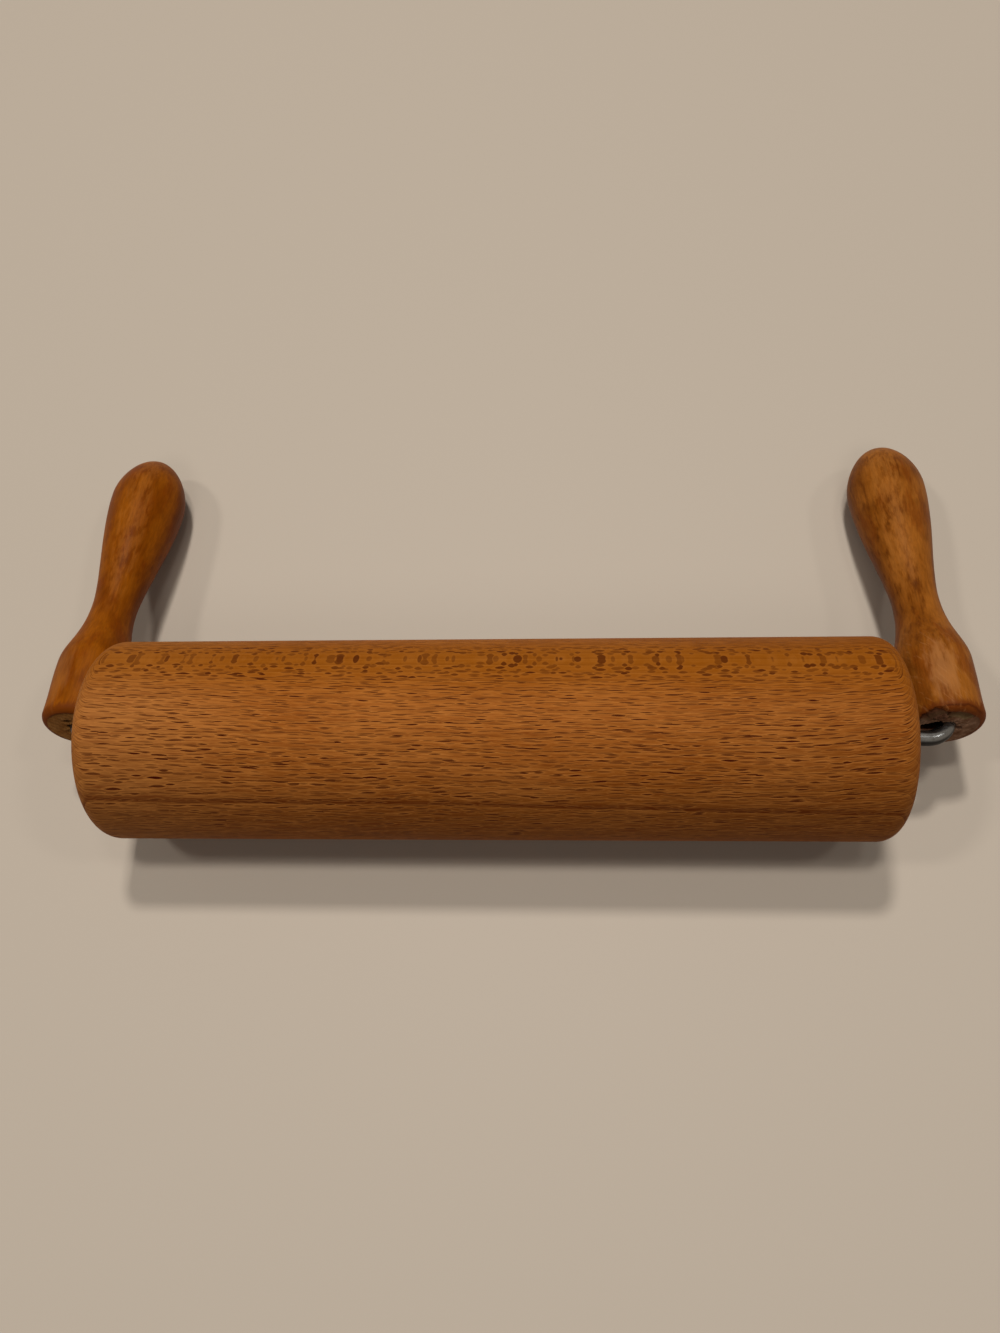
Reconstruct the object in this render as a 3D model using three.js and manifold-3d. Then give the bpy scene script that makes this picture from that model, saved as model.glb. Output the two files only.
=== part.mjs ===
// Wooden rolling pin with a free-running roller and two swept-back handles on one bent steel axle.
// Millimetres, +Z up. The roller lies along X with its line of contact through the origin.
// The handles run back along +Y and lean down until their bulbs meet the counter.
import * as THREE from "three";
import { mergeVertices } from "three/addons/utils/BufferGeometryUtils.js";
import Module from "manifold-3d";

const wasm = await Module();
wasm.setup();

// Roller
const ROLLER_LENGTH = 250;
const ROLLER_DIAMETER = 64;
const ROLLER_EDGE_RADIUS = 6.3;
const ROLLER_BORE_DIAMETER = 8;

// Axle: one steel rod, bent square at both ends
const AXLE_DIAMETER = 5;
const BEND_RADIUS = 7.5;
const LEG_LENGTH = 66;
const ROD_END_CHAMFER = 0.8;

// Play between the roller and the handles
const END_GAP = 4.05;
const REST_SHIFT = 2.85;

// Bearing bushes, pressed into the roller's ends
const BUSH_WALL = 3;
const BUSH_LENGTH = 22;
const FLANGE_RIM = 3;
const FLANGE_THICKNESS = 2;
const RUNNING_CLEARANCE = 0.1;
const SEAT_CLEARANCE = 0.05;

// Thrust washers, loose on the axle
const WASHER_RIM = 2;
const WASHER_THICKNESS = 1;
const WASHER_FLOAT = 0.2;

// Handles, measured from the flat face at the axle end
const HANDLE_LENGTH = 123.5;
const HANDLE_STANDOFF = 1.8;
const FACE_EDGE_RADIUS = 2.6;
const FACE_DIAMETER = 22.8;
const BELLY_DIAMETER = 24.2;
const BELLY_AT = 23;
const NECK_DIAMETER = 15.2;
const NECK_AT = 50;
const BULB_DIAMETER = 27.2;
const BULB_AT = 102;
const SOCKET_CLEARANCE = 0.15;
const SOCKET_SPARE_DEPTH = 2;

// Facets
const ROLLER_SIDES = 72;
const HANDLE_SIDES = 36;
const AXLE_SIDES = 20;
const BEND_STEPS = 8;

// Sizes that follow from the ones above
const axleRadius = AXLE_DIAMETER / 2;
const axleHeight = ROLLER_DIAMETER / 2;
const rollerEnd = ROLLER_LENGTH / 2;
const legAt = rollerEnd + END_GAP + BELLY_DIAMETER / 2;
const washerRadius = axleRadius + WASHER_RIM;
const faceAt = axleRadius + HANDLE_STANDOFF;
const bushRadius = axleRadius + RUNNING_CLEARANCE + BUSH_WALL;
const flangeRadius = bushRadius + FLANGE_RIM;

const point = (radius, along) => new THREE.Vector2(radius, along);

// Revolves an outline about Y, with the flats of the facets on the drawn radius and one flat facing -Z
function turned(outline, sides) {
  const corner = 1 / Math.cos(Math.PI / sides);
  const points = outline.map((p) => point(p.x * corner, p.y));
  return new THREE.LatheGeometry(points, sides, Math.PI / sides);
}

// Lays a piece turned about Y along X
function alongX(geometry) {
  return geometry.rotateZ(-Math.PI / 2);
}

// Points of a quarter round from one angle to another about a centre
function roundedCorner(radius, along, size, from, to, steps) {
  const points = [];
  for (let i = 0; i <= steps; i += 1) {
    const angle = THREE.MathUtils.degToRad(from + ((to - from) * i) / steps);
    points.push(point(radius + size * Math.cos(angle), along + size * Math.sin(angle)));
  }
  return points;
}

// Points of one smooth stretch between two stations, both ends level with the axis
function smoothStretch(start, startPull, end, endPull, steps) {
  const curve = new THREE.CubicBezierCurve(
    start,
    point(start.x, start.y + startPull),
    point(end.x, end.y - endPull),
    end,
  );
  return curve.getPoints(steps).slice(1);
}

// Outline of a handle from the middle of its flat face to the tip of its bulb
function handleOutline() {
  const edge = FACE_EDGE_RADIUS;
  const faceRadius = FACE_DIAMETER / 2;
  const belly = point(BELLY_DIAMETER / 2, BELLY_AT);
  const neck = point(NECK_DIAMETER / 2, NECK_AT);
  const bulb = point(BULB_DIAMETER / 2, BULB_AT);
  const tipLength = HANDLE_LENGTH - BULB_AT;
  const rim = roundedCorner(faceRadius - edge, edge, edge, -90, 0, 4);
  const neckLength = NECK_AT - BELLY_AT;
  const gripLength = BULB_AT - NECK_AT;
  const tip = new THREE.CubicBezierCurve(
    bulb,
    point(bulb.x, BULB_AT + 0.42 * tipLength),
    point(0.56 * bulb.x, HANDLE_LENGTH),
    point(0, HANDLE_LENGTH),
  );
  return [
    point(0, 0),
    ...rim,
    ...smoothStretch(rim.at(-1), 0.3 * BELLY_AT, belly, 0.4 * BELLY_AT, 4),
    ...smoothStretch(belly, 0.26 * neckLength, neck, 0.56 * neckLength, 8),
    ...smoothStretch(neck, 0.23 * gripLength, bulb, 0.33 * gripLength, 9),
    ...tip.getPoints(9).slice(1),
  ];
}

// Stations of the axle's centre line in the plane of its legs, from the end of the left leg to the right one
function axleStations(radius, legEnd, chamfer) {
  const stations = [];
  const add = (x, y, heading, r) => stations.push({ x, y, heading, r });
  const bendAt = legAt - BEND_RADIUS;
  const legEnding = [
    { y: legEnd, r: radius - chamfer },
    { y: legEnd - chamfer, r: radius },
  ];
  legEnding.forEach((end) => add(-legAt, end.y, -90, end.r));
  for (const side of [-1, 1]) {
    for (let i = 0; i <= BEND_STEPS; i += 1) {
      const turn = (90 * i) / BEND_STEPS;
      const fromStraight = side < 0 ? 90 - turn : turn;
      const angle = THREE.MathUtils.degToRad(fromStraight);
      const x = side * (bendAt + BEND_RADIUS * Math.sin(angle));
      const y = BEND_RADIUS * (1 - Math.cos(angle));
      add(x, y, side * fromStraight, radius);
    }
  }
  legEnding.reverse().forEach((end) => add(legAt, end.y, 90, end.r));
  return stations;
}

// Closed round bar through a row of stations that all lie in the XY plane
function bar(stations, sides) {
  const positions = [];
  const index = [];
  stations.forEach(({ x, y, heading, r }) => {
    const angle = THREE.MathUtils.degToRad(heading);
    for (let i = 0; i < sides; i += 1) {
      const around = (2 * Math.PI * (i + 0.5)) / sides;
      const across = r * Math.cos(around);
      positions.push(x - across * Math.sin(angle), y + across * Math.cos(angle), r * Math.sin(around));
    }
  });
  for (let ring = 0; ring + 1 < stations.length; ring += 1) {
    for (let i = 0; i < sides; i += 1) {
      const a = ring * sides + i;
      const b = ring * sides + ((i + 1) % sides);
      index.push(a, b, a + sides, b, b + sides, a + sides);
    }
  }
  const last = (stations.length - 1) * sides;
  for (let i = 1; i + 1 < sides; i += 1) {
    index.push(0, i + 1, i);
    index.push(last, last + i, last + i + 1);
  }
  const geometry = new THREE.BufferGeometry();
  geometry.setAttribute("position", new THREE.Float32BufferAttribute(positions, 3));
  geometry.setIndex(index);
  return geometry;
}

// Turns a closed mesh into a solid that can be cut
function solid(geometry) {
  geometry.deleteAttribute("normal");
  geometry.deleteAttribute("uv");
  const welded = mergeVertices(geometry, 1e-4);
  const corners = welded.index.array;
  const kept = [];
  for (let i = 0; i < corners.length; i += 3) {
    const [a, b, c] = corners.slice(i, i + 3);
    if (a !== b && b !== c && c !== a) {
      kept.push(a, b, c);
    }
  }
  const mesh = new wasm.Mesh({
    numProp: 3,
    vertProperties: new Float32Array(welded.attributes.position.array),
    triVerts: new Uint32Array(kept),
  });
  return new wasm.Manifold(mesh);
}

function geometryOf(cut) {
  const mesh = cut.getMesh();
  const geometry = new THREE.BufferGeometry();
  geometry.setAttribute("position", new THREE.BufferAttribute(mesh.vertProperties, 3));
  geometry.setIndex(new THREE.BufferAttribute(mesh.triVerts, 1));
  return geometry;
}

const finishes = {
  roller_beech: { color: 0x9a5c24, roughness: 0.5, metalness: 0 },
  handle_beech: { color: 0x7d4513, roughness: 0.4, metalness: 0 },
  steel: { color: 0x9b9a98, roughness: 0.25, metalness: 1 },
  nylon: { color: 0xe4dcc6, roughness: 0.5, metalness: 0 },
};

function piece(name, geometry, finish) {
  geometry.computeVertexNormals();
  const mesh = new THREE.Mesh(geometry, new THREE.MeshStandardMaterial(finishes[finish]));
  mesh.name = name;
  return mesh;
}

// Roller: rounded ends, a clearance bore and a stepped seat for a bush in each end
function roller() {
  const radius = ROLLER_DIAMETER / 2;
  const edge = ROLLER_EDGE_RADIUS;
  const bore = ROLLER_BORE_DIAMETER / 2;
  const seat = bushRadius + SEAT_CLEARANCE;
  const recess = flangeRadius + SEAT_CLEARANCE;
  const recessFloor = rollerEnd - FLANGE_THICKNESS - SEAT_CLEARANCE;
  const seatFloor = rollerEnd - BUSH_LENGTH - SEAT_CLEARANCE;
  const outline = [
    point(recess, -rollerEnd),
    ...roundedCorner(radius - edge, -rollerEnd + edge, edge, -90, 0, 6),
    ...roundedCorner(radius - edge, rollerEnd - edge, edge, 0, 90, 6),
    point(recess, rollerEnd),
    point(recess, recessFloor),
    point(seat, recessFloor),
    point(seat, seatFloor),
    point(bore, seatFloor),
    point(bore, -seatFloor),
    point(seat, -seatFloor),
    point(seat, -recessFloor),
    point(recess, -recessFloor),
    point(recess, -rollerEnd),
  ];
  return alongX(turned(outline, ROLLER_SIDES));
}

// Flanged sleeve with its flange flush with the roller's end, drawn for the right-hand end
function bush() {
  const bore = axleRadius + RUNNING_CLEARANCE;
  const inner = rollerEnd - BUSH_LENGTH;
  const shoulder = rollerEnd - FLANGE_THICKNESS;
  const outline = [
    point(bore, inner),
    point(bushRadius, inner),
    point(bushRadius, shoulder),
    point(flangeRadius, shoulder),
    point(flangeRadius, rollerEnd),
    point(bore, rollerEnd),
    point(bore, inner),
  ];
  return alongX(turned(outline, ROLLER_SIDES / 2));
}

// Washer outside the flange, drawn for the right-hand end
function washer() {
  const hole = axleRadius + 2 * RUNNING_CLEARANCE;
  const near = rollerEnd + WASHER_FLOAT;
  const far = near + WASHER_THICKNESS;
  const outline = [
    point(hole, near),
    point(washerRadius, near),
    point(washerRadius, far),
    point(hole, far),
    point(hole, near),
  ];
  return alongX(turned(outline, ROLLER_SIDES / 2));
}

// Handle drilled for the axle's leg, with a relief in its face where the bend starts inside it
function handle(side, outline) {
  const blank = solid(turned(outline, HANDLE_SIDES).translate(side * legAt, faceAt, 0));
  const socketEnd = LEG_LENGTH + SOCKET_SPARE_DEPTH;
  const socket = solid(bar(axleStations(axleRadius + SOCKET_CLEARANCE, socketEnd, 0.5), AXLE_SIDES));
  return geometryOf(blank.subtract(socket));
}

// Lean that brings the lowest point of a handle down to the counter
function restLean(outline) {
  let low = 0;
  let high = Math.PI / 3;
  for (let i = 0; i < 60; i += 1) {
    const lean = (low + high) / 2;
    const heights = outline.map((p) => axleHeight - (faceAt + p.y) * Math.sin(lean) - p.x * Math.cos(lean));
    if (Math.min(...heights) > 0) {
      low = lean;
    } else {
      high = lean;
    }
  }
  return low;
}

const outline = handleOutline();

// Axle and handles, drawn in the plane of the legs and then leaned back
const yoke = new THREE.Group();
yoke.name = "yoke";
yoke.position.set(REST_SHIFT, 0, axleHeight);
yoke.rotation.x = -restLean(outline);
yoke.add(piece("axle", bar(axleStations(axleRadius, LEG_LENGTH, ROD_END_CHAMFER), AXLE_SIDES), "steel"));
yoke.add(piece("handle_left", handle(-1, outline), "handle_beech"));
yoke.add(piece("handle_right", handle(1, outline), "handle_beech"));

// Roller with what is pressed into it and what runs against it
const barrel = new THREE.Group();
barrel.name = "barrel";
barrel.position.z = axleHeight;
barrel.add(piece("roller", roller(), "roller_beech"));
barrel.add(piece("bush_right", bush(), "nylon"));
barrel.add(piece("bush_left", bush().rotateZ(Math.PI), "nylon"));
barrel.add(piece("washer_right", washer(), "steel"));
barrel.add(piece("washer_left", washer().rotateZ(Math.PI), "steel"));

const pin = new THREE.Group();
pin.name = "rolling_pin";
pin.add(yoke, barrel);

export default pin;
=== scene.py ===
# Looks of the wooden rolling pin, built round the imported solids.
# Sizes are in millimetres until a mesh is made.
import math

import bpy
import numpy as np
from mathutils import Matrix, Vector, noise


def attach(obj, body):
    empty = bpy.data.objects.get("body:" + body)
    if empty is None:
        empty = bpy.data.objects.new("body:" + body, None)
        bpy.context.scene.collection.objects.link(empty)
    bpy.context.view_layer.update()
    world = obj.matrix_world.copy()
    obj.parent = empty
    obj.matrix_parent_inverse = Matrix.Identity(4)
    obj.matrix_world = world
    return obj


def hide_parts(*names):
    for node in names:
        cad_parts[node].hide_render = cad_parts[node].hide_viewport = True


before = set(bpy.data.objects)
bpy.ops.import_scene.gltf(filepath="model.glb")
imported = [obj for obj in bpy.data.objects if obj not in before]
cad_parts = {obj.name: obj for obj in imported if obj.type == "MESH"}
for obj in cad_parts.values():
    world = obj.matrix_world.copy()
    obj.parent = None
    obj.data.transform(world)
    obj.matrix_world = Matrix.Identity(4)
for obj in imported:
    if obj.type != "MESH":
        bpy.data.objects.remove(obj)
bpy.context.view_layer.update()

MM = 0.001

# Sizes of the solids
ROLLER_LENGTH = 250
ROLLER_RADIUS = 32
ROLLER_EDGE_RADIUS = 6.3
ROLLER_BORE_RADIUS = 4
AXLE_RADIUS = 2.5
BEND_RADIUS = 7.5
LEG_LENGTH = 66
END_GAP = 4.05
REST_SHIFT = 2.85
BUSH_LENGTH = 22
BUSH_RADIUS = 5.6
BUSH_BORE_RADIUS = 2.6
FLANGE_RADIUS = 8.6
FLANGE_THICKNESS = 2
WASHER_RADIUS = 4.5
WASHER_HOLE_RADIUS = 2.7
WASHER_THICKNESS = 1
WASHER_FLOAT = 0.2
HANDLE_LENGTH = 123.5
FACE_AT = 4.3
FACE_RADIUS = 11.4
FACE_EDGE_RADIUS = 2.6
BELLY_RADIUS = 12.1
BELLY_AT = 23
NECK_RADIUS = 7.6
NECK_AT = 50
BULB_RADIUS = 13.6
BULB_AT = 102
SOCKET_RADIUS = 2.65
SOCKET_DEPTH = 63.7
ROD_END_CHAMFER = 0.8

# Small fits, edges and points
FIT_GAP = 0.05
BUSH_EASE = 0.4
BUSH_LEAD_IN = 0.5
WASHER_EDGE_RADIUS = 0.2
DRILL_TIP_RADIUS = 0.05
DRILL_TIP_LENGTH = 0.6
POINT_RADIUS = 0.01
SHARP_ANGLE = math.radians(35)

# Sides of the round pieces
ROLLER_SIDES = 256
RING_SIDES = 96

# Depths below a handle's face, each with how far the socket has widened there from its bore to its mouth
SOCKET_STATIONS = (
    (SOCKET_DEPTH, 0), (30, 0), (11, 0), (7, 0.12), (4, 0.35), (2.2, 0.62), (1.1, 0.85), (0.4, 0.96),
)

ROLLER_END = ROLLER_LENGTH / 2
LEG_AT = ROLLER_END + END_GAP + BELLY_RADIUS


# Outlines are rows of (radius, distance along the axis)

def rounded_corner(radius, along, size, start, stop, steps):
    angles = np.radians(np.linspace(start, stop, steps + 1))
    return np.stack([radius + size * np.cos(angles), along + size * np.sin(angles)], 1)


def bezier(p0, p1, p2, p3, steps):
    t = np.linspace(0, 1, steps + 1)[:, None]
    ends = (1 - t) ** 3 * np.array(p0, float) + t ** 3 * np.array(p3, float)
    pulls = 3 * (1 - t) ** 2 * t * np.array(p1, float) + 3 * (1 - t) * t ** 2 * np.array(p2, float)
    return ends + pulls


def level_stretch(start, start_pull, end, end_pull, steps):
    """A smooth stretch between two stations, both ends level with the axis, without its first point."""
    a = (start[0], start[1] + start_pull)
    b = (end[0], end[1] - end_pull)
    return bezier(start, a, b, end, steps)[1:]


def handle_outline():
    """From the edge of the flat face to the tip of the bulb."""
    rim = rounded_corner(FACE_RADIUS - FACE_EDGE_RADIUS, FACE_EDGE_RADIUS, FACE_EDGE_RADIUS, -90, 0, 12)
    belly = (BELLY_RADIUS, BELLY_AT)
    neck = (NECK_RADIUS, NECK_AT)
    bulb = (BULB_RADIUS, BULB_AT)
    shoulder = NECK_AT - BELLY_AT
    grip = BULB_AT - NECK_AT
    tip = HANDLE_LENGTH - BULB_AT
    bulb_pull = (BULB_RADIUS, BULB_AT + 0.42 * tip)
    tip_pull = (0.56 * BULB_RADIUS, HANDLE_LENGTH)
    return np.concatenate([
        rim,
        level_stretch(rim[-1], 0.3 * BELLY_AT, belly, 0.4 * BELLY_AT, 14),
        level_stretch(belly, 0.26 * shoulder, neck, 0.56 * shoulder, 26),
        level_stretch(neck, 0.23 * grip, bulb, 0.33 * grip, 36),
        bezier(bulb, bulb_pull, tip_pull, (0, HANDLE_LENGTH), 30)[1:],
    ])


def rest_lean(outline):
    """The lean, in radians, that brings the lowest point of a handle down to the counter."""
    low, high = 0.0, math.pi / 3
    for _ in range(60):
        lean = (low + high) / 2
        heights = ROLLER_RADIUS - (FACE_AT + outline[:, 1]) * math.sin(lean) - outline[:, 0] * math.cos(lean)
        if heights.min() > 0:
            low = lean
        else:
            high = lean
    return low


OUTLINE = handle_outline()
LEAN = rest_lean(OUTLINE)
YOKE = Matrix.Translation((REST_SHIFT, 0, ROLLER_RADIUS)) @ Matrix.Rotation(-LEAN, 4, "X")
BARREL = Matrix.Translation((0, 0, ROLLER_RADIUS))


# Meshes

def mesh_object(name, points, faces, place, body, slot, stands_for=None):
    """A smooth mesh from points in millimetres, put in place in the row frame and tied to its body."""
    spots = np.asarray(points, float)
    m = np.array(place)
    spots = (spots @ m[:3, :3].T + m[:3, 3]) * MM
    mesh = bpy.data.meshes.new(name)
    mesh.from_pydata(spots.tolist(), [], faces)
    mesh.validate()
    mesh.shade_smooth()
    mesh.set_sharp_from_angle(angle=SHARP_ANGLE)
    obj = bpy.data.objects.new(name, mesh)
    bpy.context.scene.collection.objects.link(obj)
    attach(obj, body)
    if stands_for:
        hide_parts(stands_for)
    return obj


def ring_faces(count, sides, closed):
    """Quads between neighbouring rings, the last one joined to the first where closed."""
    faces = []
    for r in range(count if closed else count - 1):
        a0 = r * sides
        b0 = ((r + 1) % count) * sides
        for i in range(sides):
            j = (i + 1) % sides
            faces.append((a0 + i, a0 + j, b0 + j, b0 + i))
    return faces


def ring_angles(sides):
    return np.arange(sides) * 2 * math.pi / sides


def turned_ring(outline, sides):
    """A closed outline turned about X."""
    angles = ring_angles(sides)
    points = []
    for radius, along in outline:
        x = np.full(sides, along)
        points.append(np.stack([x, radius * np.cos(angles), radius * np.sin(angles)], 1))
    return np.concatenate(points), ring_faces(len(outline), sides, True)


def roller_outline():
    seat = BUSH_RADIUS + FIT_GAP
    recess = FLANGE_RADIUS + FIT_GAP
    recess_floor = ROLLER_END - FLANGE_THICKNESS - FIT_GAP
    seat_floor = ROLLER_END - BUSH_LENGTH - FIT_GAP
    edge = ROLLER_EDGE_RADIUS
    flat = np.linspace(recess, ROLLER_RADIUS - edge, 8)[:-1]
    left = np.stack([flat, np.full_like(flat, -ROLLER_END)], 1)
    right = np.stack([flat[::-1], np.full_like(flat, ROLLER_END)], 1)
    body = np.linspace(-ROLLER_END + edge, ROLLER_END - edge, 40)[1:-1]
    bore = [
        (recess, recess_floor),
        (seat, recess_floor),
        (seat, seat_floor),
        (ROLLER_BORE_RADIUS, seat_floor),
        (ROLLER_BORE_RADIUS, -seat_floor),
        (seat, -seat_floor),
        (seat, -recess_floor),
        (recess, -recess_floor),
    ]
    return np.concatenate([
        left,
        rounded_corner(ROLLER_RADIUS - edge, -ROLLER_END + edge, edge, -90, 0, 14),
        np.stack([np.full_like(body, ROLLER_RADIUS), body], 1),
        rounded_corner(ROLLER_RADIUS - edge, ROLLER_END - edge, edge, 0, 90, 14),
        right,
        bore,
    ])


def eased_ring(inner, outer, near, far, ease):
    """Outline of a flat ring with rounded outer edges."""
    return np.concatenate([
        [(inner, near)],
        rounded_corner(outer - ease, near + ease, ease, -90, 0, 4),
        rounded_corner(outer - ease, far - ease, ease, 0, 90, 4),
        [(inner, far)],
    ])


def bush_outline():
    inner = ROLLER_END - BUSH_LENGTH
    shoulder = ROLLER_END - FLANGE_THICKNESS
    sleeve = [
        (BUSH_BORE_RADIUS, inner),
        (BUSH_RADIUS - BUSH_LEAD_IN, inner),
        (BUSH_RADIUS, inner + BUSH_LEAD_IN),
        (BUSH_RADIUS, shoulder),
        (FLANGE_RADIUS, shoulder),
    ]
    rim = rounded_corner(FLANGE_RADIUS - BUSH_EASE, ROLLER_END - BUSH_EASE, BUSH_EASE, 0, 90, 4)
    mouth = [(BUSH_BORE_RADIUS + BUSH_EASE, ROLLER_END), (BUSH_BORE_RADIUS, ROLLER_END - BUSH_EASE)]
    return np.concatenate([sleeve, rim, mouth])


def mirrored(points, faces):
    return points * np.array([-1, 1, 1]), [f[::-1] for f in faces]


def axle_mesh(sides=40, bend_steps=28):
    """One round bar through both bends, with a chamfer at the end of each leg."""
    stations = []
    ends = [(LEG_LENGTH, AXLE_RADIUS - ROD_END_CHAMFER), (LEG_LENGTH - ROD_END_CHAMFER, AXLE_RADIUS)]
    for y, r in ends:
        stations.append((-LEG_AT, y, -math.pi / 2, r))
    for side in (-1, 1):
        turns = np.linspace(0, math.pi / 2, bend_steps + 1)
        for turn in turns[::-1] if side < 0 else turns:
            x = side * (LEG_AT - BEND_RADIUS + BEND_RADIUS * math.sin(turn))
            stations.append((x, BEND_RADIUS * (1 - math.cos(turn)), side * turn, AXLE_RADIUS))
    for y, r in ends[::-1]:
        stations.append((LEG_AT, y, math.pi / 2, r))
    angles = ring_angles(sides)
    points = []
    for x, y, heading, r in stations:
        across = r * np.cos(angles)
        ring = [x - across * math.sin(heading), y + across * math.cos(heading), r * np.sin(angles)]
        points.append(np.stack(ring, 1))
    faces = ring_faces(len(stations), sides, False)
    last = (len(stations) - 1) * sides
    faces.append(tuple(range(sides))[::-1])
    faces.append(tuple(last + i for i in range(sides)))
    return np.concatenate(points), faces


def rough(x, y=0.0, z=0.0, octaves=3):
    """Repeatable noise, about -1 to 1."""
    return noise.fractal(Vector((x, y, z)), 0.7, 2.0, octaves)


def step(low, high, value):
    """0 below low, 1 above high, smooth between."""
    t = min(1.0, max(0.0, (value - low) / (high - low)))
    return t * t * (3 - 2 * t)


def mouth_radius(angle, side):
    """Edge of the hole in a handle's face, an oval close round the bent rod, with broken fibres all round.
    Angle 0 points away from the roller."""
    centre, half_length, half_width = -0.9, 3.0, 2.6
    c, s = math.cos(angle), math.sin(angle)
    a = (c / half_length) ** 2 + (s / half_width) ** 2
    b = -centre * c / half_length ** 2
    d = 1 - (centre / half_length) ** 2
    fibres = 0.12 * abs(rough(2.2 * c, 2.2 * s, 7.3 * side)) + 0.12 * abs(rough(6 * c, 6 * s, 7.3 * side + 3))
    return (-b + math.sqrt(b * b + a * d)) / a + fibres


def upper_window(angle):
    """1 over the split part of the right face, above the hole and away from the roller."""
    degrees = math.degrees(angle) % 360
    return step(34, 52, degrees) * (1 - step(104, 116, degrees))


def split_radius(angle):
    """Outer edge of the split part of the right face."""
    return 8.15 + 0.25 * rough(3 * math.cos(angle), 3 * math.sin(angle), 4.4)


def hollow(out, z, place, size):
    """1 at the middle of an oval chip, 0 well away from it."""
    return math.exp(-((out - place[0]) / size[0]) ** 2 - ((z - place[1]) / size[1]) ** 2)


def face_depth(out, z, side):
    """How deep a handle's face is worn away at a point.
    out is the distance from the centre of the face, away from the roller."""
    r = math.hypot(out, z)
    angle = math.atan2(z, out)
    depth = 0.06 * rough(1.9 * out, 0.7 * z, 9.7 * side)
    if side > 0:
        upper = min(2.7, 2.4 + 0.6 * (out + 4.9)) + 0.3 * rough(1.1 * out, 3.1)
        notch = step(-0.25, 0.25, upper - z) * step(-2.9, -2.5, z)
        notch *= step(-9.2, -8.4, out) * (1 - step(-3.6, -2.4, out))
        split = upper_window(angle) * step(3.4, 7.6, r) * (1 - step(0.0, 0.2, r - split_radius(angle)))
        near_hole = math.exp(-((out - 2.4) ** 2 + (z - 1.6) ** 2) / 5)
        crumbs = max(0.0, 0.1 + rough(1.2 * out, 1.2 * z, 4.2)) * near_hole
        flakes = max(0.0, rough(0.8 * out, 1.5 * z, 8.8)) * step(0.5, -2.0, out) * step(2.6, 4.0, z)
        chip = 1.3 * hollow(out, z, (2.7, -0.9), (1.2, 0.55)) + 0.9 * hollow(out, z, (3.9, -1.5), (0.8, 0.5))
        depth += 2.8 * notch + 0.7 * split + 0.9 * crumbs + 1.1 * flakes + chip
    else:
        crumbs = max(0.0, rough(1.1 * out, 1.1 * z, 6.1)) * (1 - step(3.4, 5.0, r))
        chip = 1.7 * hollow(out, z, (1.7, 4.0), (1.3, 0.55)) + 1.6 * hollow(out, z, (2.5, -2.0), (1.2, 0.5))
        chip += 1.4 * hollow(out, z, (1.6, 0.9), (1.1, 0.8))
        depth += 0.5 * crumbs + chip
    return depth


def chip_depth(out, z):
    """How far the rim of the right face is broken back at a point, above the hole and towards the roller."""
    degrees = math.degrees(math.atan2(z, out)) % 360
    broken = step(100, 122, degrees) * (1 - step(160, 190, degrees))
    bites = 0.85 + 0.5 * rough(0.42 * out, 0.42 * z, 13.4, 4)
    reach = min(1.0, max(0.0, (math.hypot(out, z) - 6.6) / 4.8))
    return max(0.0, bites) * 1.4 * broken * reach


def handle_mesh(side, sides=176):
    """A turned handle with its drilled socket, local axes: Y along the handle from its face, Z up."""
    angles = ring_angles(sides)
    away = side * np.cos(angles)
    rise = np.sin(angles)
    headings = [math.atan2(z, out) for out, z in zip(away, rise)]
    mouth = np.array([mouth_radius(a, side) for a in headings])
    rings = []

    def add(radii, along):
        rings.append(np.stack([radii * np.cos(angles), np.broadcast_to(along, sides), radii * rise], 1))

    def worn(radii):
        return np.array([face_depth(r * out, r * z, side) for r, out, z in zip(radii, away, rise)])

    edge = worn(mouth)
    add(np.full(sides, DRILL_TIP_RADIUS), SOCKET_DEPTH + DRILL_TIP_LENGTH)
    for depth, share in SOCKET_STATIONS:
        add(SOCKET_RADIUS + (mouth - SOCKET_RADIUS) * share, depth + edge * min(1, 2 * share))
    face_ring = len(rings)
    flat_radius = FACE_RADIUS - FACE_EDGE_RADIUS
    for share in np.linspace(0, 1, 24)[:-1]:
        radii = mouth + (flat_radius - mouth) * share
        add(radii, worn(radii))
    for radius, along in OUTLINE[:-1]:
        level = along / 14 + 5 * side
        wobble = np.array([0.05 * rough(1.3 * math.cos(a), 1.3 * math.sin(a), level) for a in angles])
        add(np.maximum(radius + wobble * min(1, radius / 4), POINT_RADIUS), along)
    add(np.full(sides, POINT_RADIUS), HANDLE_LENGTH)
    points = np.concatenate(rings)
    # Break the right rim back where it is chipped
    if side > 0:
        near_face = np.flatnonzero(points[:, 1] < 5.0)
        for i in near_face[near_face >= face_ring * sides]:
            points[i, 1] = max(points[i, 1], chip_depth(points[i, 0], points[i, 2]))
    faces = ring_faces(len(rings), sides, False)
    last = (len(rings) - 1) * sides
    faces.append(tuple(range(sides))[::-1])
    faces.append(tuple(last + i for i in range(sides)))
    return points, faces


def sliver(base, direction, lift, length, width):
    """A torn fibre that lifts off the face: points and faces of a thin tapering wedge."""
    direction = np.array(direction, float) / np.linalg.norm(direction)
    across = np.array([-direction[2], 0, direction[0]])
    points = []
    steps = 6
    for i in range(steps + 1):
        t = i / steps
        spine = np.array(base, float) + direction * length * t - np.array([0, lift * t ** 1.6, 0])
        half = width * 0.5 * (1 - t) ** 0.7 + 0.02
        thick = 0.22 * (1 - 0.8 * t)
        for u, v in ((-1, 0), (1, 0), (0.6, -1), (-0.6, -1)):
            points.append(spine + across * half * u + np.array([0, thick * v, 0]))
    faces = ring_faces(steps + 1, 4, False)
    faces.append((3, 2, 1, 0))
    last = steps * 4
    faces.append((last, last + 1, last + 2, last + 3))
    return np.array(points), faces


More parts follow.
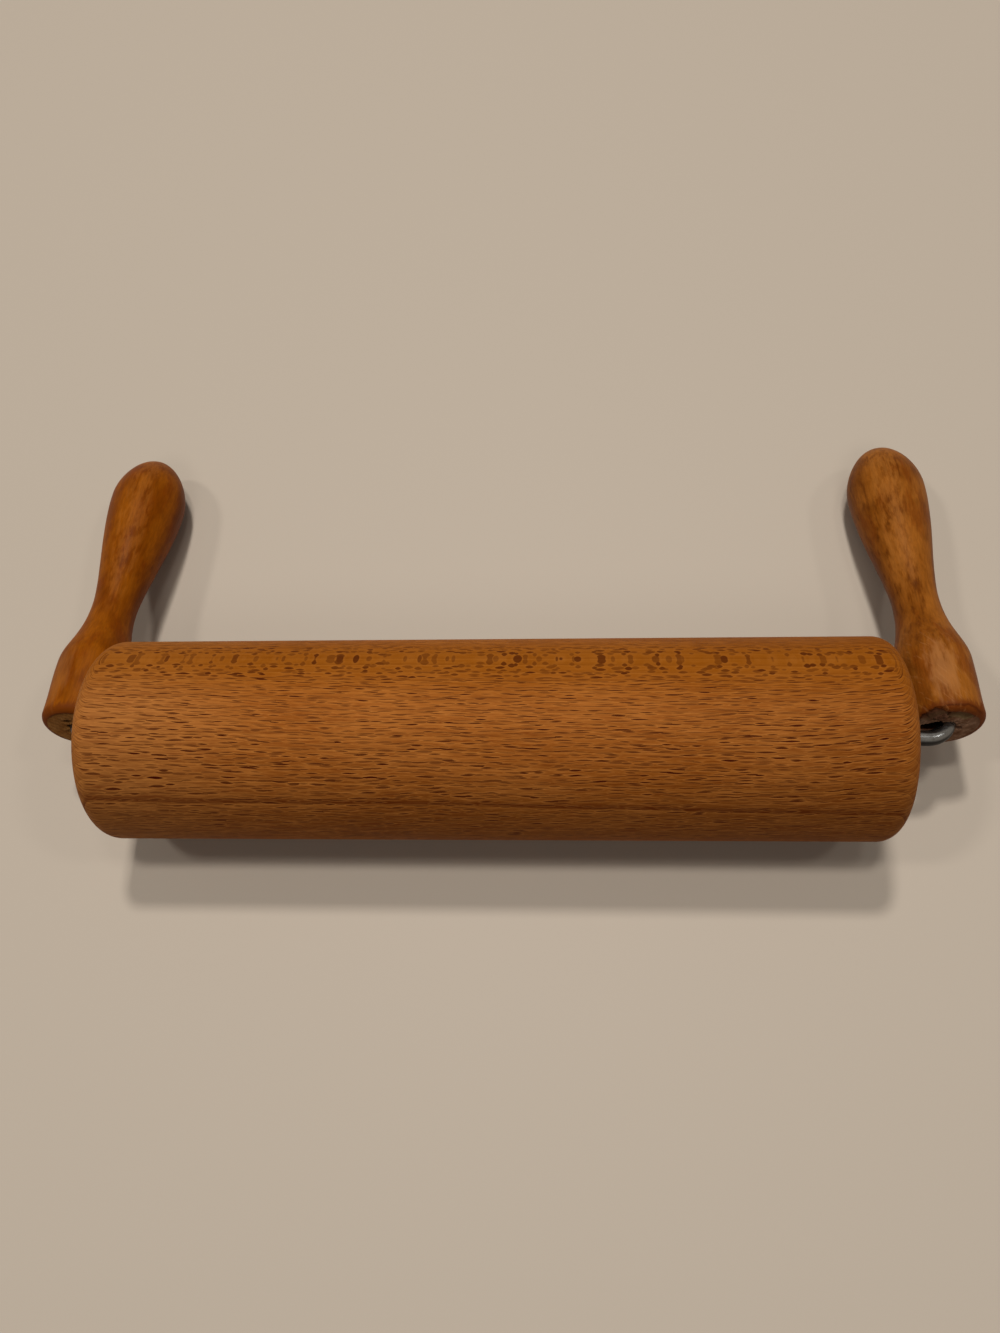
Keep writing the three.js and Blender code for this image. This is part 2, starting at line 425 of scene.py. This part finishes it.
def slivers_mesh(side, count=9):
    """Torn fibres that stand off the face, on the side of the hole away from the roller."""
    points, faces = [], []
    for k in range(count):
        angle = -1.3 + 2.2 * k / (count - 1) + 0.15 * rough(k * 1.7, side)
        out = np.array([side * math.cos(angle), 0, math.sin(angle)])
        reach = mouth_radius(angle, side) + 0.2 + 0.8 * abs(rough(k * 2.3, side * 4))
        start = out * reach
        start[1] = face_depth(side * start[0], start[2], side) + 0.12
        skew = np.array([side * math.cos(angle + 1.1), 0, math.sin(angle + 1.1)]) * rough(k * 3.1, 8 * side)
        length = 1.0 + 1.2 * abs(rough(k * 0.9, 5, side))
        p, f = sliver(start, out + 1.1 * skew, 0.3 + 0.4 * abs(rough(k, 3, side)), length, 0.7)
        offset = sum(len(q) for q in points)
        points.append(p)
        faces += [tuple(i + offset for i in face) for face in f]
    return np.concatenate(points), faces


# Materials

def srgb(r, g, b):
    """A colour from 0-255 display values."""
    def linear(c):
        c /= 255
        return c / 12.92 if c <= 0.04045 else ((c + 0.055) / 1.055) ** 2.4
    return (linear(r), linear(g), linear(b), 1.0)


class Graph:
    """A material's nodes, added one call at a time."""

    def __init__(self, name):
        self.material = bpy.data.materials.new(name)
        self.material.use_nodes = True
        self.tree = self.material.node_tree
        self.tree.nodes.clear()

    def node(self, kind, inputs=(), **settings):
        made = self.tree.nodes.new(kind)
        for key, value in settings.items():
            setattr(made, key, value)
        for key, value in dict(inputs).items():
            socket = made.inputs[key]
            if isinstance(value, bpy.types.NodeSocket):
                self.tree.links.new(value, socket)
            else:
                socket.default_value = value
        return made

    def math(self, operation, a, b=0.0):
        return self.node("ShaderNodeMath", {0: a, 1: b}, operation=operation).outputs[0]

    def add(self, a, b):
        return self.math("ADD", a, b)

    def sub(self, a, b):
        return self.math("SUBTRACT", a, b)

    def mul(self, a, b):
        return self.math("MULTIPLY", a, b)

    def div(self, a, b):
        return self.math("DIVIDE", a, b)

    def vector(self, operation, a, b=(0, 0, 0)):
        return self.node("ShaderNodeVectorMath", {0: a, 1: b}, operation=operation).outputs[0]

    def combine(self, x, y, z):
        return self.node("ShaderNodeCombineXYZ", {0: x, 1: y, 2: z}).outputs[0]

    def split(self, vector):
        return self.node("ShaderNodeSeparateXYZ", {0: vector}).outputs

    def length(self, vector):
        return self.node("ShaderNodeVectorMath", {0: vector}, operation="LENGTH").outputs["Value"]

    def noise(self, vector, detail=2.0, roughness=0.5):
        inputs = {"Vector": vector, "Scale": 1.0, "Detail": detail, "Roughness": roughness}
        return self.node("ShaderNodeTexNoise", inputs).outputs[0]

    def grain(self, spot, scales, detail=2.0, roughness=0.5, offset=(0, 0, 0)):
        """Noise stretched by its own amount along each axis."""
        stretched = self.vector("MULTIPLY", spot, scales)
        return self.noise(self.vector("ADD", stretched, offset), detail, roughness)

    def between(self, value, low, high, to_low=0.0, to_high=1.0):
        """value mapped smoothly from the range low..high to to_low..to_high."""
        inputs = {0: value, 1: low, 2: high, 3: to_low, 4: to_high}
        return self.node("ShaderNodeMapRange", inputs, interpolation_type="SMOOTHSTEP").outputs[0]

    def mix(self, factor, a, b, blend="MIX"):
        inputs = {0: factor, 6: a, 7: b}
        return self.node("ShaderNodeMix", inputs, data_type="RGBA", blend_type=blend).outputs[2]

    def scaled(self, colour, factor):
        """colour made lighter or darker."""
        grey = self.combine(factor, factor, factor)
        return self.mix(1.0, colour, grey, "MULTIPLY")

    def bump(self, height, distance, strength):
        inputs = {"Height": height, "Distance": distance, "Strength": strength}
        return self.node("ShaderNodeBump", inputs).outputs[0]

    def finish(self, **inputs):
        shader = self.node("ShaderNodeBsdfPrincipled", {k.replace("_", " "): v for k, v in inputs.items()})
        self.node("ShaderNodeOutputMaterial", {"Surface": shader.outputs[0]})
        return self.material


def local_mm(g, place):
    """Coordinates on a piece in millimetres in its own axes, which stay with it when it moves."""
    spot = g.node("ShaderNodeTexCoord").outputs["Object"]
    where = place.to_translation() * MM
    turn = place.to_euler()
    turned = g.node("ShaderNodeMapping", {0: spot, 1: where, 2: turn}, vector_type="TEXTURE").outputs[0]
    return g.vector("MULTIPLY", turned, (1000, 1000, 1000))


def ray_layer(g, along, spread, spacing, half_size, to_quarter, shift):
    """One scatter of rays, the thin sheets that run out from the pith. A ray is a lens, long along the grain.
    Returns how far a point is inside the nearest one, and that one's strength."""
    lengthwise_spot = g.add(g.div(along, spacing[0]), shift)
    sidewise_spot = g.add(g.div(spread, spacing[1]), 1.7 * shift)
    spot = g.combine(lengthwise_spot, sidewise_spot, 0.0)
    inputs = {"Vector": spot, "Scale": 1.0, "Randomness": 0.85}
    scatter = g.node("ShaderNodeTexVoronoi", inputs, voronoi_dimensions="2D")
    off = g.split(g.vector("SUBTRACT", spot, scatter.outputs["Position"]))
    chance = g.split(scatter.outputs["Color"])
    shorten = g.between(to_quarter, 0.0, 0.05, 0.45, 1.0)
    swell = g.mul(g.between(to_quarter, 0.0, 0.05, 3.4, 1.0), g.between(to_quarter, 0.08, 0.4, 0.8, 1.0))
    length = g.mul(g.between(chance[0], 0.0, 1.0, 0.7 * half_size[0], 1.5 * half_size[0]), shorten)
    width = g.mul(g.between(chance[1], 0.0, 1.0, 0.7 * half_size[1], 1.3 * half_size[1]), swell)
    lengthwise = g.div(g.mul(off[0], spacing[0]), length)
    sidewise = g.div(g.mul(g.math("ABSOLUTE", off[1]), spacing[1]), width)
    inside = g.sub(g.sub(1.0, g.mul(lengthwise, lengthwise)), sidewise)
    return inside, g.between(g.mul(chance[2], chance[2]), 0.0, 1.0, 0.5, 1.0)


def beech(g, along, radial, across, pith, widest, spacing, half_size, rise):
    """Beech in the tree's own axes.
    Its rays show as dashes on a flat-sawn face and as ovals on a quarter-sawn one.
    Returns the masks of the rays and of the pale wood round them,
    the distance from the pith, and the fibres."""
    deep = g.add(radial, pith)
    ring = g.math("SQRT", g.add(g.mul(deep, deep), g.mul(across, across)))
    # Angle about the pith, spread so that the rays lie evenly on the roller
    # up to the lines where it is quarter-sawn
    softening = 0.012
    girth_to_quarter = 66.0
    turn = g.math("ARCTAN2", across, deep)
    to_quarter = g.math("MAXIMUM", g.sub(1.0, g.div(g.math("ABSOLUTE", turn), widest)), 0.0)
    evened = g.sub(1.0, g.math("SQRT", g.add(to_quarter, softening)))
    angle = g.mul(g.mul(g.math("SIGN", turn), evened), girth_to_quarter)
    wave = g.noise(g.combine(g.div(along, 45), g.div(ring, 40), 0.37), 1.0)
    ripple = g.noise(g.combine(g.div(along, 6), g.div(angle, 3), g.div(ring, 30)))
    spread = g.add(g.add(angle, g.mul(g.sub(wave, 0.5), 1.2)), g.add(g.mul(g.sub(ripple, 0.5), 0.7), rise))
    rays = 0.0
    halo = 0.0
    for shift in (0.0, 17.31):
        inside, strength = ray_layer(g, along, spread, spacing, half_size, to_quarter, shift)
        rays = g.math("MAXIMUM", rays, g.mul(g.between(inside, 0.0, 0.22), strength))
        halo = g.math("MAXIMUM", halo, g.mul(g.between(inside, -1.7, -0.3), strength))
    fibres = g.noise(g.combine(g.div(along, 8), g.div(spread, 0.4), g.div(ring, 12)), 3.0, 0.65)
    return rays, halo, ring, fibres


def growth_rings(g, along, ring, fibres, first, width):
    """Late wood, dark at the end of each year, and the pale line where the next year starts."""
    drift = g.noise(g.combine(g.div(along, 110), g.div(ring, 18), 2.7), 2.0)
    year = g.add(g.div(g.sub(ring, first), width), g.mul(g.sub(drift, 0.5), 0.5))
    season = g.math("FRACT", g.add(year, g.mul(g.sub(fibres, 0.5), 0.12)))
    late = g.mul(g.between(season, 0.45, 0.97), g.between(season, 1.0, 0.98))
    early = g.between(season, 0.16, 0.02)
    return late, early, year


def roller_wood():
    g = Graph("roller_beech")
    x, y, z = g.split(local_mm(g, BARREL))
    face = math.radians(5)
    pith = 83.7
    marked_ring = 113.6
    straight_radial = g.add(g.mul(y, -math.cos(face)), g.mul(z, math.sin(face)))
    straight_across = g.add(g.mul(y, math.sin(face)), g.mul(z, math.cos(face)))
    twist = g.mul(x, -0.00041)
    radial = g.add(straight_radial, g.mul(straight_across, twist))
    across = g.sub(straight_across, g.mul(straight_radial, twist))
    leaned = g.sub(across, g.mul(x, g.between(radial, 21, 30, 0.0, 0.027)))
    past = g.math("MAXIMUM", g.sub(x, 85), 0.0)
    bow = g.mul(g.mul(x, x), g.between(radial, 26, 5, 0.00006, 0.00016))
    rise = g.sub(g.mul(g.mul(past, past), -0.0012), bow)
    # Under the roller the rays run slightly askew to the quarter-sawn line and show less
    under = g.between(across, -20, -26)
    rise = g.add(rise, g.mul(under, g.between(radial, -22, -2, -2.2, 2.2)))
    widest = math.asin(ROLLER_RADIUS / pith)
    ray_spacing = (5.2, 1.8)
    ray_half_size = (2.3, 0.225)
    ring_width = 3.0
    rays, halo, ring, fibres = beech(g, x, radial, leaned, pith, widest, ray_spacing, ray_half_size, rise)
    late, early, year = growth_rings(g, x, ring, fibres, marked_ring, ring_width)
    # 1 where the surface lies flat on the rings, 0 where it cuts straight across them
    outward = g.add(g.mul(radial, g.add(radial, pith)), g.mul(across, leaned))
    from_axis = g.math("SQRT", g.add(g.mul(radial, radial), g.mul(across, across)))
    flat_sawn = g.math("ABSOLUTE", g.div(outward, g.mul(from_axis, ring)))
    patches = g.noise(g.combine(g.div(x, 48), g.div(y, 15), g.div(z, 15)), 3.0)
    ground = g.mix(g.between(patches, 0.3, 0.7), srgb(150, 84, 25), srgb(166, 99, 39))
    ground = g.mix(g.between(x, -60, -115, 0.0, 0.55), ground, srgb(172, 114, 60))
    ground = g.scaled(ground, g.between(x, 20, 110, 1.0, 0.84))
    ground = g.scaled(ground, g.between(g.sub(ring, marked_ring), -7, 2, 1.0, 0.76))
    # Painted shade: the colour is darker towards the low front side of the roller
    ground = g.scaled(ground, g.between(radial, 4, 28, 1.0, 0.82))
    ground = g.mix(g.between(fibres, 0.48, 0.72, 0.0, 0.42), ground, srgb(194, 124, 60))
    ground = g.mix(g.between(fibres, 0.54, 0.3, 0.0, 0.52), ground, srgb(94, 30, 0))
    ground = g.mix(g.between(flat_sawn, 0.55, 0.05, 0.0, 0.75), ground, srgb(143, 80, 8))
    ground = g.mix(g.mul(early, 0.14), ground, srgb(196, 130, 58))
    ground = g.mix(g.mul(late, 0.2), ground, srgb(92, 42, 4))
    marked = g.mul(g.between(year, -0.24, -0.05), g.between(year, 0.06, 0.0))
    ground = g.mix(g.mul(marked, 0.65), ground, srgb(76, 22, 0))
    ground = g.mix(g.mul(halo, g.between(flat_sawn, 0.1, 0.6, 0.08, 0.28)), ground, srgb(190, 124, 58))
    # Rays show less on the rounded edges and on the end grain
    barrel = g.between(g.math("ABSOLUTE", x), ROLLER_END - 6.0, ROLLER_END - 2.0, 1.0, 0.3)
    front = g.between(radial, 24, 31, 1.0, 0.8)
    depth = g.mul(g.between(flat_sawn, 0.0, 0.4, 0.75, 0.98), g.mul(barrel, front))
    depth = g.mul(depth, g.sub(1.0, g.mul(under, 0.5)))
    colour = g.mix(g.mul(rays, depth), ground, srgb(58, 5, 0))
    normal = g.bump(g.sub(g.mul(fibres, 0.35), rays), 0.00012, 0.6)
    shine = g.between(patches, 0.25, 0.75, 0.55, 0.66)
    return g.finish(Base_Color=colour, Roughness=shine, Normal=normal, Specular_IOR_Level=0.03)


def varnish(g, side, spot):
    """Old varnish over beech: streaks along the grain, dark patches, a dark rim, places worn pale, and a pale
    stripe on top that is partly a painted highlight.
    Returns its colour, its roughness and its height."""
    right = side > 0
    x, s, z = g.split(spot)
    broad = g.grain(spot, (0.11, 0.05, 0.11), 3.0, 0.55, (3.1 * side, 0, 0))
    streak = g.grain(spot, (0.6, 0.13, 0.6), 4.0, 0.62)
    fibres = g.grain(spot, (1.7, 0.22, 1.7), 3.0, 0.6)
    pale, deep, dark = (
        (srgb(146, 86, 26), srgb(122, 67, 12), srgb(84, 38, 2)) if right
        else (srgb(137, 73, 4), srgb(115, 56, 0), srgb(88, 36, 0)))
    ground = g.mix(g.between(broad, 0.4, 0.6), deep, pale)
    clusters = g.between(g.add(broad, g.mul(x, 0.006)), 0.62, 0.4, 0.2, 1.0)
    stained = g.grain(spot, (0.16, 0.06, 0.16), 3.0, 0.6, (0, 7.7 * side, 0))
    stain_colour = srgb(112, 52, 4) if right else srgb(116, 52, 0)
    ground = g.mix(g.between(stained, 0.5, 0.66, 0.0, 0.6), ground, stain_colour)
    upper = g.between(s, 8, 30, 0.3, 1.0)
    stains = g.mul(g.mul(g.between(streak, 0.48, 0.7), clusters), upper)
    ground = g.mix(g.mul(stains, 0.7 if right else 0.3), ground, dark)
    # A paler stripe along the top of the grip, partly rubbed wood and partly a painted highlight
    aside = g.math("ABSOLUTE", g.add(g.sub(x, -3.5 if right else 2.0), g.mul(g.sub(broad, 0.5), 7.0)))
    on_top = g.mul(g.between(aside, 5.5, 3.0), g.between(z, 1.0, 8.0))
    along_grip = g.mul(g.between(s, 36, 60), g.between(streak, 0.62, 0.42))
    rubbed_and_highlight = g.mul(on_top, along_grip)
    rubbed_and_highlight_colour = srgb(166, 106, 46) if right else srgb(160, 96, 34)
    ground = g.mix(g.mul(rubbed_and_highlight, 0.3 if right else 0.34), ground, rubbed_and_highlight_colour)
    ground = g.scaled(ground, g.between(fibres, 0.28, 0.72, 0.86, 1.12))
    uneven = g.sub(streak, 0.5)
    band = g.add(s, g.mul(uneven, 8.0))
    red = srgb(98, 44, 10) if right else srgb(104, 48, 6)
    rim = g.between(band, 4.0, 1.6)
    ground = g.mix(g.mul(rim, 0.85), ground, red)
    if right:
        # A dark crack along the broken rim
        angle = g.math("ARCTAN2", z, x)
        wander = g.grain(spot, (0.22, 0.0, 0.22), 2.0, 0.5)
        crack_at = g.between(wander, 0.3, 0.7, 0.6, 1.4)
        crack = g.between(g.math("ABSOLUTE", g.sub(s, crack_at)), 0.5, 0.08)
        crack = g.mul(crack, g.mul(g.between(angle, 0.55, 0.8), g.between(angle, 2.5, 2.2)))
        ground = g.mix(g.mul(crack, 0.6), ground, srgb(62, 22, 4))
    worn_spot = g.vector("SUBTRACT", spot, (-1.5, 14.0, 11.5) if right else (-5.0, 15.0, 10.0))
    scaled_spot = g.vector("MULTIPLY", worn_spot, (0.17, 0.07, 0.2))
    worn_off = g.length(scaled_spot)
    worn = g.between(g.add(worn_off, g.mul(uneven, 2.0)), 1.05, 0.3, 0.0, 0.5 if right else 0.2)
    colour = g.mix(worn, ground, srgb(172, 116, 66))
    if right:
        # Pale scratches that run aslant over the base and the neck
        slant = math.radians(32)
        over = g.sub(g.mul(x, math.cos(slant)), g.mul(s, -math.sin(slant)))
        down = g.sub(g.mul(s, math.cos(slant)), g.mul(x, math.sin(slant)))
        scratch = g.noise(g.combine(g.mul(over, 1.5), g.mul(down, 0.2), g.mul(z, 0.3)), 2.0, 0.5)
        lines = g.mul(g.between(scratch, 0.58, 0.7, 0.0, 0.22), g.between(s, 40, 24))
        colour = g.mix(lines, colour, srgb(176, 122, 72))
    shine = g.add(g.between(broad, 0.3, 0.7, 0.38, 0.48), g.mul(g.add(worn, rim), 0.15))
    return colour, shine, g.add(fibres, g.mul(streak, 0.8))


def bare_end(g, side, spot):
    """Bare end grain of a handle's face: greyed and dirty, with rings, darker the deeper it lies below the
    face, and painted near-black shade deep in the hole round the rod.
    Returns its colour and its height."""
    right = side > 0
    x, s, z = g.split(spot)
    far = g.combine(g.add(x, -26 * side), g.add(z, 16), 0.0)
    ring = g.length(far)
    wobble = g.grain(spot, (0.2, 0.2, 0.2), 3.0)
    season = g.math("FRACT", g.add(g.div(ring, 1.9), g.mul(wobble, 0.9)))
    dirt = g.grain(spot, (0.32, 0.32, 0.32), 4.0, 0.6)
    grit = g.grain(spot, (1.6, 1.6, 1.6), 3.0, 0.7)
    dull, bare = (srgb(104, 72, 52), srgb(140, 108, 86)) if right else (srgb(126, 82, 38), srgb(150, 106, 58))
    ground = g.mix(g.between(dirt, 0.34, 0.66), dull, bare)
    ground = g.mix(g.between(season, 0.5, 0.95, 0.0, 0.3), ground, srgb(72, 44, 24))
    ground = g.scaled(ground, g.between(grit, 0.25, 0.75, 0.8, 1.16))
    split = g.mul(g.between(z, 2.6, 4.0), g.between(s, 0.15, 0.45))
    ground = g.mix(g.mul(split, 0.7 if right else 0.0), ground, srgb(118, 102, 70))
    # Darker the deeper the face lies below its own level
    ground = g.mix(g.between(s, 0.3, 0.9, 0.0, 0.75), ground, srgb(78, 40, 22) if right else srgb(70, 40, 20))
    if right:
        torn = g.mul(g.between(z, 2.6, 4.2), g.between(x, 1.0, -2.0))
        ground = g.mix(g.mul(torn, 0.6), ground, srgb(84, 48, 32))
    radius = g.length(g.combine(x, 0.0, z))
    # Painted shade: near black where the face lies deep, in the hole and the notch round the rod
    inner = g.mul(g.between(s, 0.9, 2.4) if right else g.between(s, 0.4, 1.1), g.between(radius, 9.4, 8.6))
    colour = g.mix(g.mul(inner, 0.95), ground, srgb(16, 7, 3))
    return colour, g.add(grit, dirt)


def handle_wood(side, place):
    """Varnish down to the face and round its edge, bare wood on the face and where the rim is broken."""
    g = Graph("handle_beech_right" if side > 0 else "handle_beech_left")
    spot = local_mm(g, place)
    x, s, z = g.split(spot)
    coat, shine, coat_height = varnish(g, side, spot)
    bare, bare_height = bare_end(g, side, spot)
    radius = g.length(g.combine(x, 0.0, z))
    ragged = g.sub(g.grain(spot, (0.45, 0.45, 0.45), 4.0, 0.6), 0.5)
    angle = g.math("ARCTAN2", z, g.mul(x, side))
    above = g.mul(g.between(angle, 0.5, 0.9), g.between(angle, 2.2, 1.9)) if side > 0 else 0.0
    broken = g.between(angle, 1.85, 2.1) if side > 0 else 0.0
    edge = g.add(g.sub(9.1, g.mul(above, 0.9)), g.add(g.mul(ragged, 1.0), g.mul(broken, 1.3)))
    on_face = g.mul(g.between(g.sub(radius, edge), 0.12, -0.12), g.between(s, 9.0, 8.0))
    colour = g.mix(on_face, coat, bare)
    # Painted shadow: a dark line where the varnish meets the bare face, stronger on the upper side under the
    # lip
    painted_edge_shadow = g.mul(g.between(g.math("ABSOLUTE", g.sub(radius, edge)), 0.5, 0.1), g.between(s, 9.0, 8.0))
    painted_edge_shadow = g.mul(painted_edge_shadow, g.between(angle, 0.6, 0.9, 0.15, 0.6))
    colour = g.mix(painted_edge_shadow, colour, srgb(44, 17, 6))
    roughness = g.add(shine, g.mul(on_face, 0.36))
    height = g.add(g.mul(coat_height, g.sub(1.0, on_face)), g.mul(g.mul(bare_height, on_face), 2.4))
    normal = g.bump(height, 0.00012, 0.5)
    return g.finish(Base_Color=colour, Roughness=roughness, Normal=normal, Specular_IOR_Level=0.05)


def drawn_steel():
    g = Graph("drawn_steel")
    spot = local_mm(g, YOKE)
    streak = g.grain(spot, (0.15, 3.0, 3.0), 3.0, 0.6)
    stain = g.grain(spot, (0.5, 0.5, 0.5), 4.0, 0.6)
    colour = g.mix(g.between(stain, 0.45, 0.75), srgb(124, 127, 130), srgb(96, 97, 98))
    # Painted shade, a dark reflection, on the low front side and round the outside of the bends
    x, y, z = g.split(spot)
    past_straight = g.math("MAXIMUM", g.sub(g.math("ABSOLUTE", x), LEG_AT - BEND_RADIUS), 0.0)
    to_bend = g.length(g.combine(past_straight, g.sub(y, BEND_RADIUS), 0.0))
    outside = g.sub(to_bend, BEND_RADIUS)
    low_front = g.sub(g.mul(outside, 0.93), g.mul(z, 0.36))
    darkening = g.between(low_front, 1.0, 1.8)
    colour = g.mix(g.mul(darkening, 0.9), colour, srgb(26, 23, 20))
    shine = g.add(g.between(streak, 0.25, 0.75, 0.2, 0.32), g.mul(darkening, 0.2))
    normal = g.bump(streak, 0.00002, 0.3)
    return g.finish(Base_Color=colour, Metallic=1.0, Roughness=shine, Normal=normal)


def washer_steel():
    g = Graph("washer_steel")
    spot = local_mm(g, BARREL)
    _, y, z = g.split(spot)
    radius = g.length(g.combine(0.0, y, z))
    turned = g.noise(g.combine(g.mul(radius, 5.0), 0.0, 0.0), 2.0)
    stain = g.grain(spot, (0.8, 0.8, 0.8), 4.0)
    colour = g.mix(g.between(stain, 0.4, 0.7), srgb(190, 188, 184), srgb(146, 141, 133))
    shine = g.between(turned, 0.3, 0.7, 0.24, 0.42)
    return g.finish(Base_Color=colour, Metallic=1.0, Roughness=shine, Normal=g.bump(turned, 0.00003, 0.5))


def moulded_nylon():
    g = Graph("moulded_nylon")
    spot = local_mm(g, BARREL)
    cloud = g.grain(spot, (0.12, 0.12, 0.12), 3.0)
    darkening = g.grain(spot, (0.5, 0.5, 0.5), 5.0, 0.7)
    colour = g.mix(g.between(cloud, 0.3, 0.7), srgb(224, 215, 192), srgb(211, 200, 174))
    colour = g.mix(g.between(darkening, 0.55, 0.8, 0.0, 0.6), colour, srgb(150, 128, 98))
    shine = g.between(darkening, 0.3, 0.7, 0.4, 0.56)
    return g.finish(Base_Color=colour, Roughness=shine, Normal=g.bump(darkening, 0.00004, 0.4))


def counter():
    """The floor, which fades out far from the object into the pale background."""
    g = Graph("counter")
    top = g.node("ShaderNodeBsdfPrincipled", {
        "Base Color": srgb(187, 176, 163), "Roughness": 0.55, "Specular IOR Level": 0.25}).outputs[0]
    spot = g.node("ShaderNodeTexCoord").outputs["Object"]
    away = g.length(spot)
    clear = g.node("ShaderNodeBsdfTransparent").outputs[0]
    faded = g.node("ShaderNodeMixShader", {0: g.between(away, 0.6, 1.6), 1: top, 2: clear}).outputs[0]
    g.node("ShaderNodeOutputMaterial", {"Surface": faded})
    return g.material


# The object

roller_shape = turned_ring(roller_outline(), ROLLER_SIDES)
roller = mesh_object("roller_turned", *roller_shape, BARREL, "roller", "roller_beech", "roller")
roller.data.materials.append(roller_wood())

nylon = moulded_nylon()
steel_washer = washer_steel()
bush_right = turned_ring(bush_outline(), RING_SIDES)
near = ROLLER_END + WASHER_FLOAT
far = near + WASHER_THICKNESS
washer_outline = eased_ring(WASHER_HOLE_RADIUS, WASHER_RADIUS, near, far, WASHER_EDGE_RADIUS)
washer_right = turned_ring(washer_outline, RING_SIDES)
for side_name, flip in (("right", False), ("left", True)):
    parts = mirrored(*bush_right) if flip else bush_right
    bush = mesh_object("bush_moulded_" + side_name, *parts, BARREL, "roller", "nylon", "bush_" + side_name)
    bush.data.materials.append(nylon)
    parts = mirrored(*washer_right) if flip else washer_right
    washer = mesh_object(
        "washer_stamped_" + side_name, *parts, BARREL, "thrust_washers", "steel", "washer_" + side_name)
    washer.data.materials.append(steel_washer)

axle = mesh_object("axle_rod", *axle_mesh(), YOKE, "yoke", "steel", "axle")
axle.data.materials.append(drawn_steel())

for side, side_name in ((1, "right"), (-1, "left")):
    place = YOKE @ Matrix.Translation((side * LEG_AT, FACE_AT, 0))
    handle_shape = handle_mesh(side)
    handle = mesh_object(
        "handle_turned_" + side_name, *handle_shape, place, "yoke", "handle_beech", "handle_" + side_name)
    wood = handle_wood(side, place)
    handle.data.materials.append(wood)
    torn = mesh_object("splinters_" + side_name, *slivers_mesh(side), place, "yoke", "handle_beech")
    torn.data.materials.append(wood)


# Floor, light and camera

# In metres
FLOOR_REACH = 6.0
FLOOR_DROP = 0.0002

corners = [(x * FLOOR_REACH, y * FLOOR_REACH, 0) for x, y in ((-1, -1), (1, -1), (1, 1), (-1, 1))]
floor_mesh = bpy.data.meshes.new("floor")
floor_mesh.from_pydata(corners, [], [(0, 1, 2, 3)])
floor = bpy.data.objects.new("floor", floor_mesh)
floor.location.z = -FLOOR_DROP
bpy.context.scene.collection.objects.link(floor)
floor.data.materials.append(counter())


LAMP_HEIGHT = 2.3
WARM = (1.0, 0.95, 0.88)


def lamp(name, lean_x, lean_y, share, size):
    """A round lamp above the counter.
    lean is its offset for each unit of height, share its part of the light there."""
    spot = Vector((lean_x, lean_y, 1.0)) * LAMP_HEIGHT
    data = bpy.data.lights.new(name, "AREA")
    data.shape = "DISK"
    data.size = size
    data.energy = share * math.pi ** 2 * spot.length ** 3 / LAMP_HEIGHT
    data.color = WARM
    holder = bpy.data.objects.new(name, data)
    holder.location = spot
    holder.rotation_euler = spot.to_track_quat("Z", "Y").to_euler()
    bpy.context.scene.collection.objects.link(holder)


lamp("back", -0.04, 0.395, 0.385, 0.24)
lamp("above", -0.02, 0.04, 0.225, 0.24)
lamp("above_right", 0.2, 0.04, 0.05, 0.3)
lamp("left", -0.66, -0.03, 0.115, 0.3)
lamp("right", 0.7, 0.0, 0.05, 0.3)
lamp("front", 0.0, -0.8, 0.08, 0.9)

# The world lights the object softly. Where it is seen, also in the steel, it is as pale as the lit floor.
world = bpy.data.worlds.new("studio")
world.use_nodes = True
tree = world.node_tree
light = tree.nodes["Background"]
light.inputs["Color"].default_value = (1.0, 0.95, 0.89, 1.0)
light.inputs["Strength"].default_value = 0.06
seen = tree.nodes.new("ShaderNodeBackground")
seen.inputs["Color"].default_value = srgb(188, 173, 155)
rays = tree.nodes.new("ShaderNodeLightPath").outputs
direct = rays["Is Camera Ray"]
for kind in ("Is Glossy Ray", "Is Transmission Ray"):
    either = tree.nodes.new("ShaderNodeMath")
    either.operation = "MAXIMUM"
    tree.links.new(direct, either.inputs[0])
    tree.links.new(rays[kind], either.inputs[1])
    direct = either.outputs[0]
choice = tree.nodes.new("ShaderNodeMixShader")
tree.links.new(direct, choice.inputs[0])
tree.links.new(light.outputs[0], choice.inputs[1])
tree.links.new(seen.outputs[0], choice.inputs[2])
tree.links.new(choice.outputs[0], tree.nodes["World Output"].inputs["Surface"])
bpy.context.scene.world = world

# Camera fitted to the outlines in the photograph: place in millimetres, angles in degrees,
# focal length in the photograph's pixels
EYE = (21.98, -115.59, 328.53)
PITCH = 64.306
YAW = -7.986
ROLL = -7.546
FOCAL_PIXELS = 991.7
LONG_SIDE_PIXELS = 1333
SENSOR = 36.0

pitch, yaw, roll = (math.radians(v) for v in (PITCH, YAW, ROLL))
level_forward = Vector((math.sin(yaw), math.cos(yaw), 0))
level_right = Vector((math.cos(yaw), -math.sin(yaw), 0))
vertical = Vector((0, 0, 1))
forward = math.cos(pitch) * level_forward - math.sin(pitch) * vertical
upward = math.sin(pitch) * level_forward + math.cos(pitch) * vertical
right = math.cos(roll) * level_right + math.sin(roll) * upward
up = -math.sin(roll) * level_right + math.cos(roll) * upward
lens = bpy.data.cameras.new("camera")
lens.sensor_width = SENSOR
lens.lens = SENSOR * FOCAL_PIXELS / LONG_SIDE_PIXELS
lens.clip_start = 0.01
camera = bpy.data.objects.new("camera", lens)
facing = Matrix((right, up, -forward)).transposed().to_4x4()
camera.matrix_world = Matrix.Translation(Vector(EYE) * MM) @ facing
bpy.context.scene.collection.objects.link(camera)
bpy.context.scene.camera = camera

bpy.context.scene.view_settings.view_transform = "Standard"
